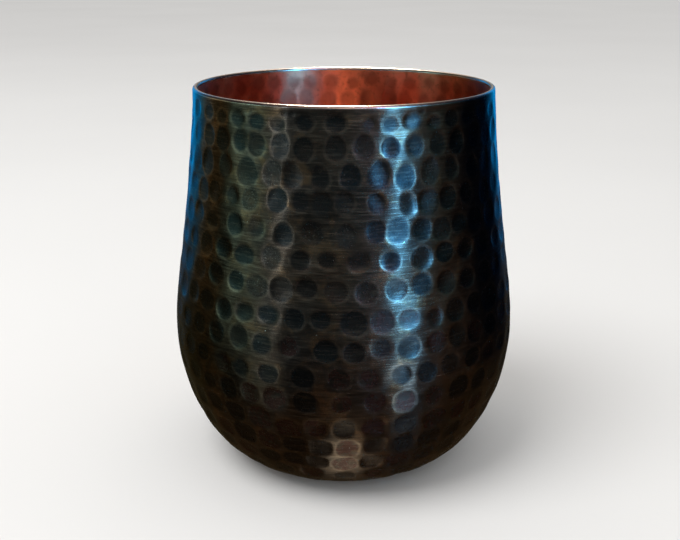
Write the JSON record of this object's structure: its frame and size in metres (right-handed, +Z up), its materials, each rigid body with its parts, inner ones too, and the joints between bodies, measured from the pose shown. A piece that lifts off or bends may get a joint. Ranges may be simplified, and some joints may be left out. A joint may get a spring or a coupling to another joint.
{
  "type": "hammered copper tumbler",
  "caption": "Handle-less hammered copper cup with a near-straight neck, a wide rounded belly and a flat brazed-in base.",
  "frame": {"origin": "centre of the flat underside, on the surface that the cup stands on", "axes": "+Z up along the axis that the cup is turned about; -Y faces the viewer of the front view"},
  "size_m": [0.0854, 0.0854, 0.094],
  "materials": {
    "dark_copper": "hammered, darkened outside and lathe-brushed; bright reddish copper inside",
    "bright_copper": "satin, turned",
    "brazing_filler": "as brazed, slightly dull"
  },
  "bodies": {
    "root": {"hammered_wall": "dark_copper", "brazed_seam": "brazing_filler", "base_disc": "bright_copper"}
  },
  "joints": []
}
